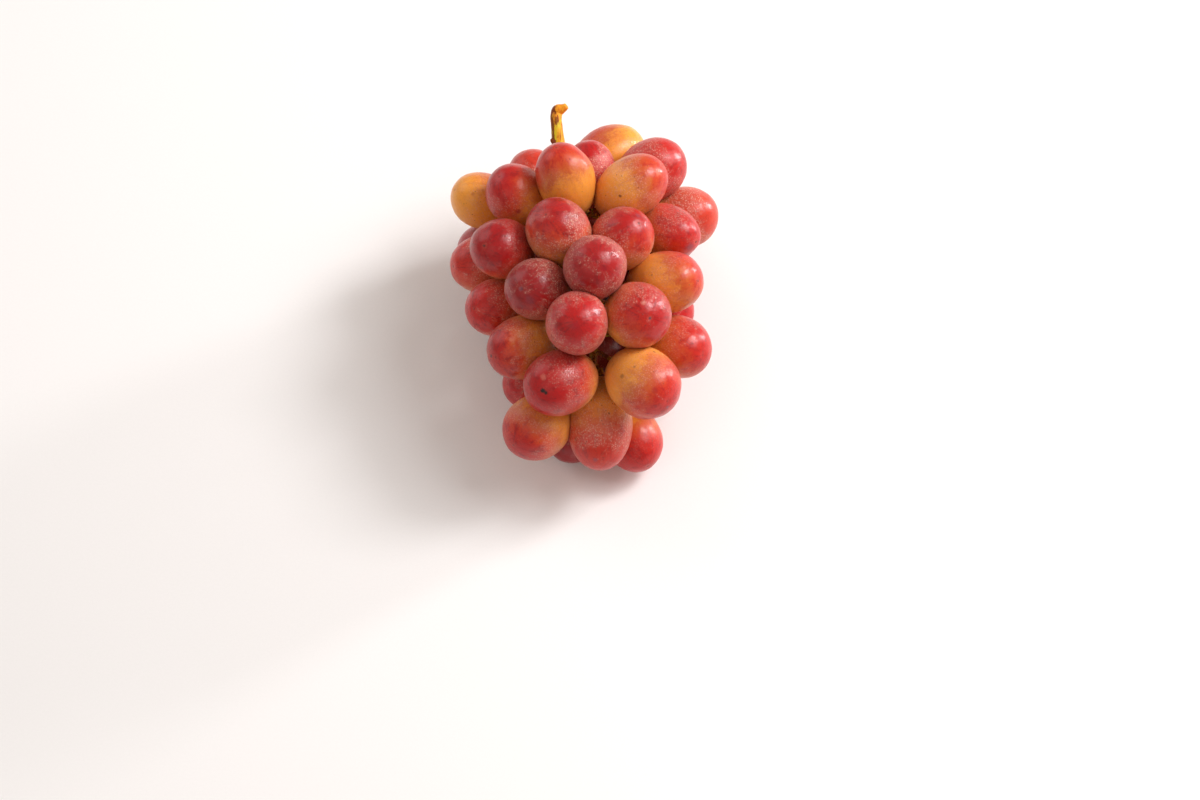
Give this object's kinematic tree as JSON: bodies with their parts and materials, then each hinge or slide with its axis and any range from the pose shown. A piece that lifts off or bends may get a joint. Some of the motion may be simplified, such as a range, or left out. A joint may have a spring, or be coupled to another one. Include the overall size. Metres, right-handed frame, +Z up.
{
  "type": "bunch of grapes",
  "caption": "Bunch of large oval red grapes with a waxy bloom, lying on its side, with its cut stalk, branches and small stalks.",
  "frame": {"origin": "on the ground, under the middle of the lying bunch's box", "axes": "+Z up off the ground, +Y along the bunch toward its cut stalk, +X to the right seen from the bunch's lower end"},
  "size_m": [0.13, 0.184, 0.1133],
  "materials": {
    "grape_skin": "satin skin with a thin waxy bloom",
    "stalk": "dry yellow-brown stalk"
  },
  "bodies": {
    "root": {"berries": "grape_skin", "stem": "stalk"}
  },
  "joints": []
}
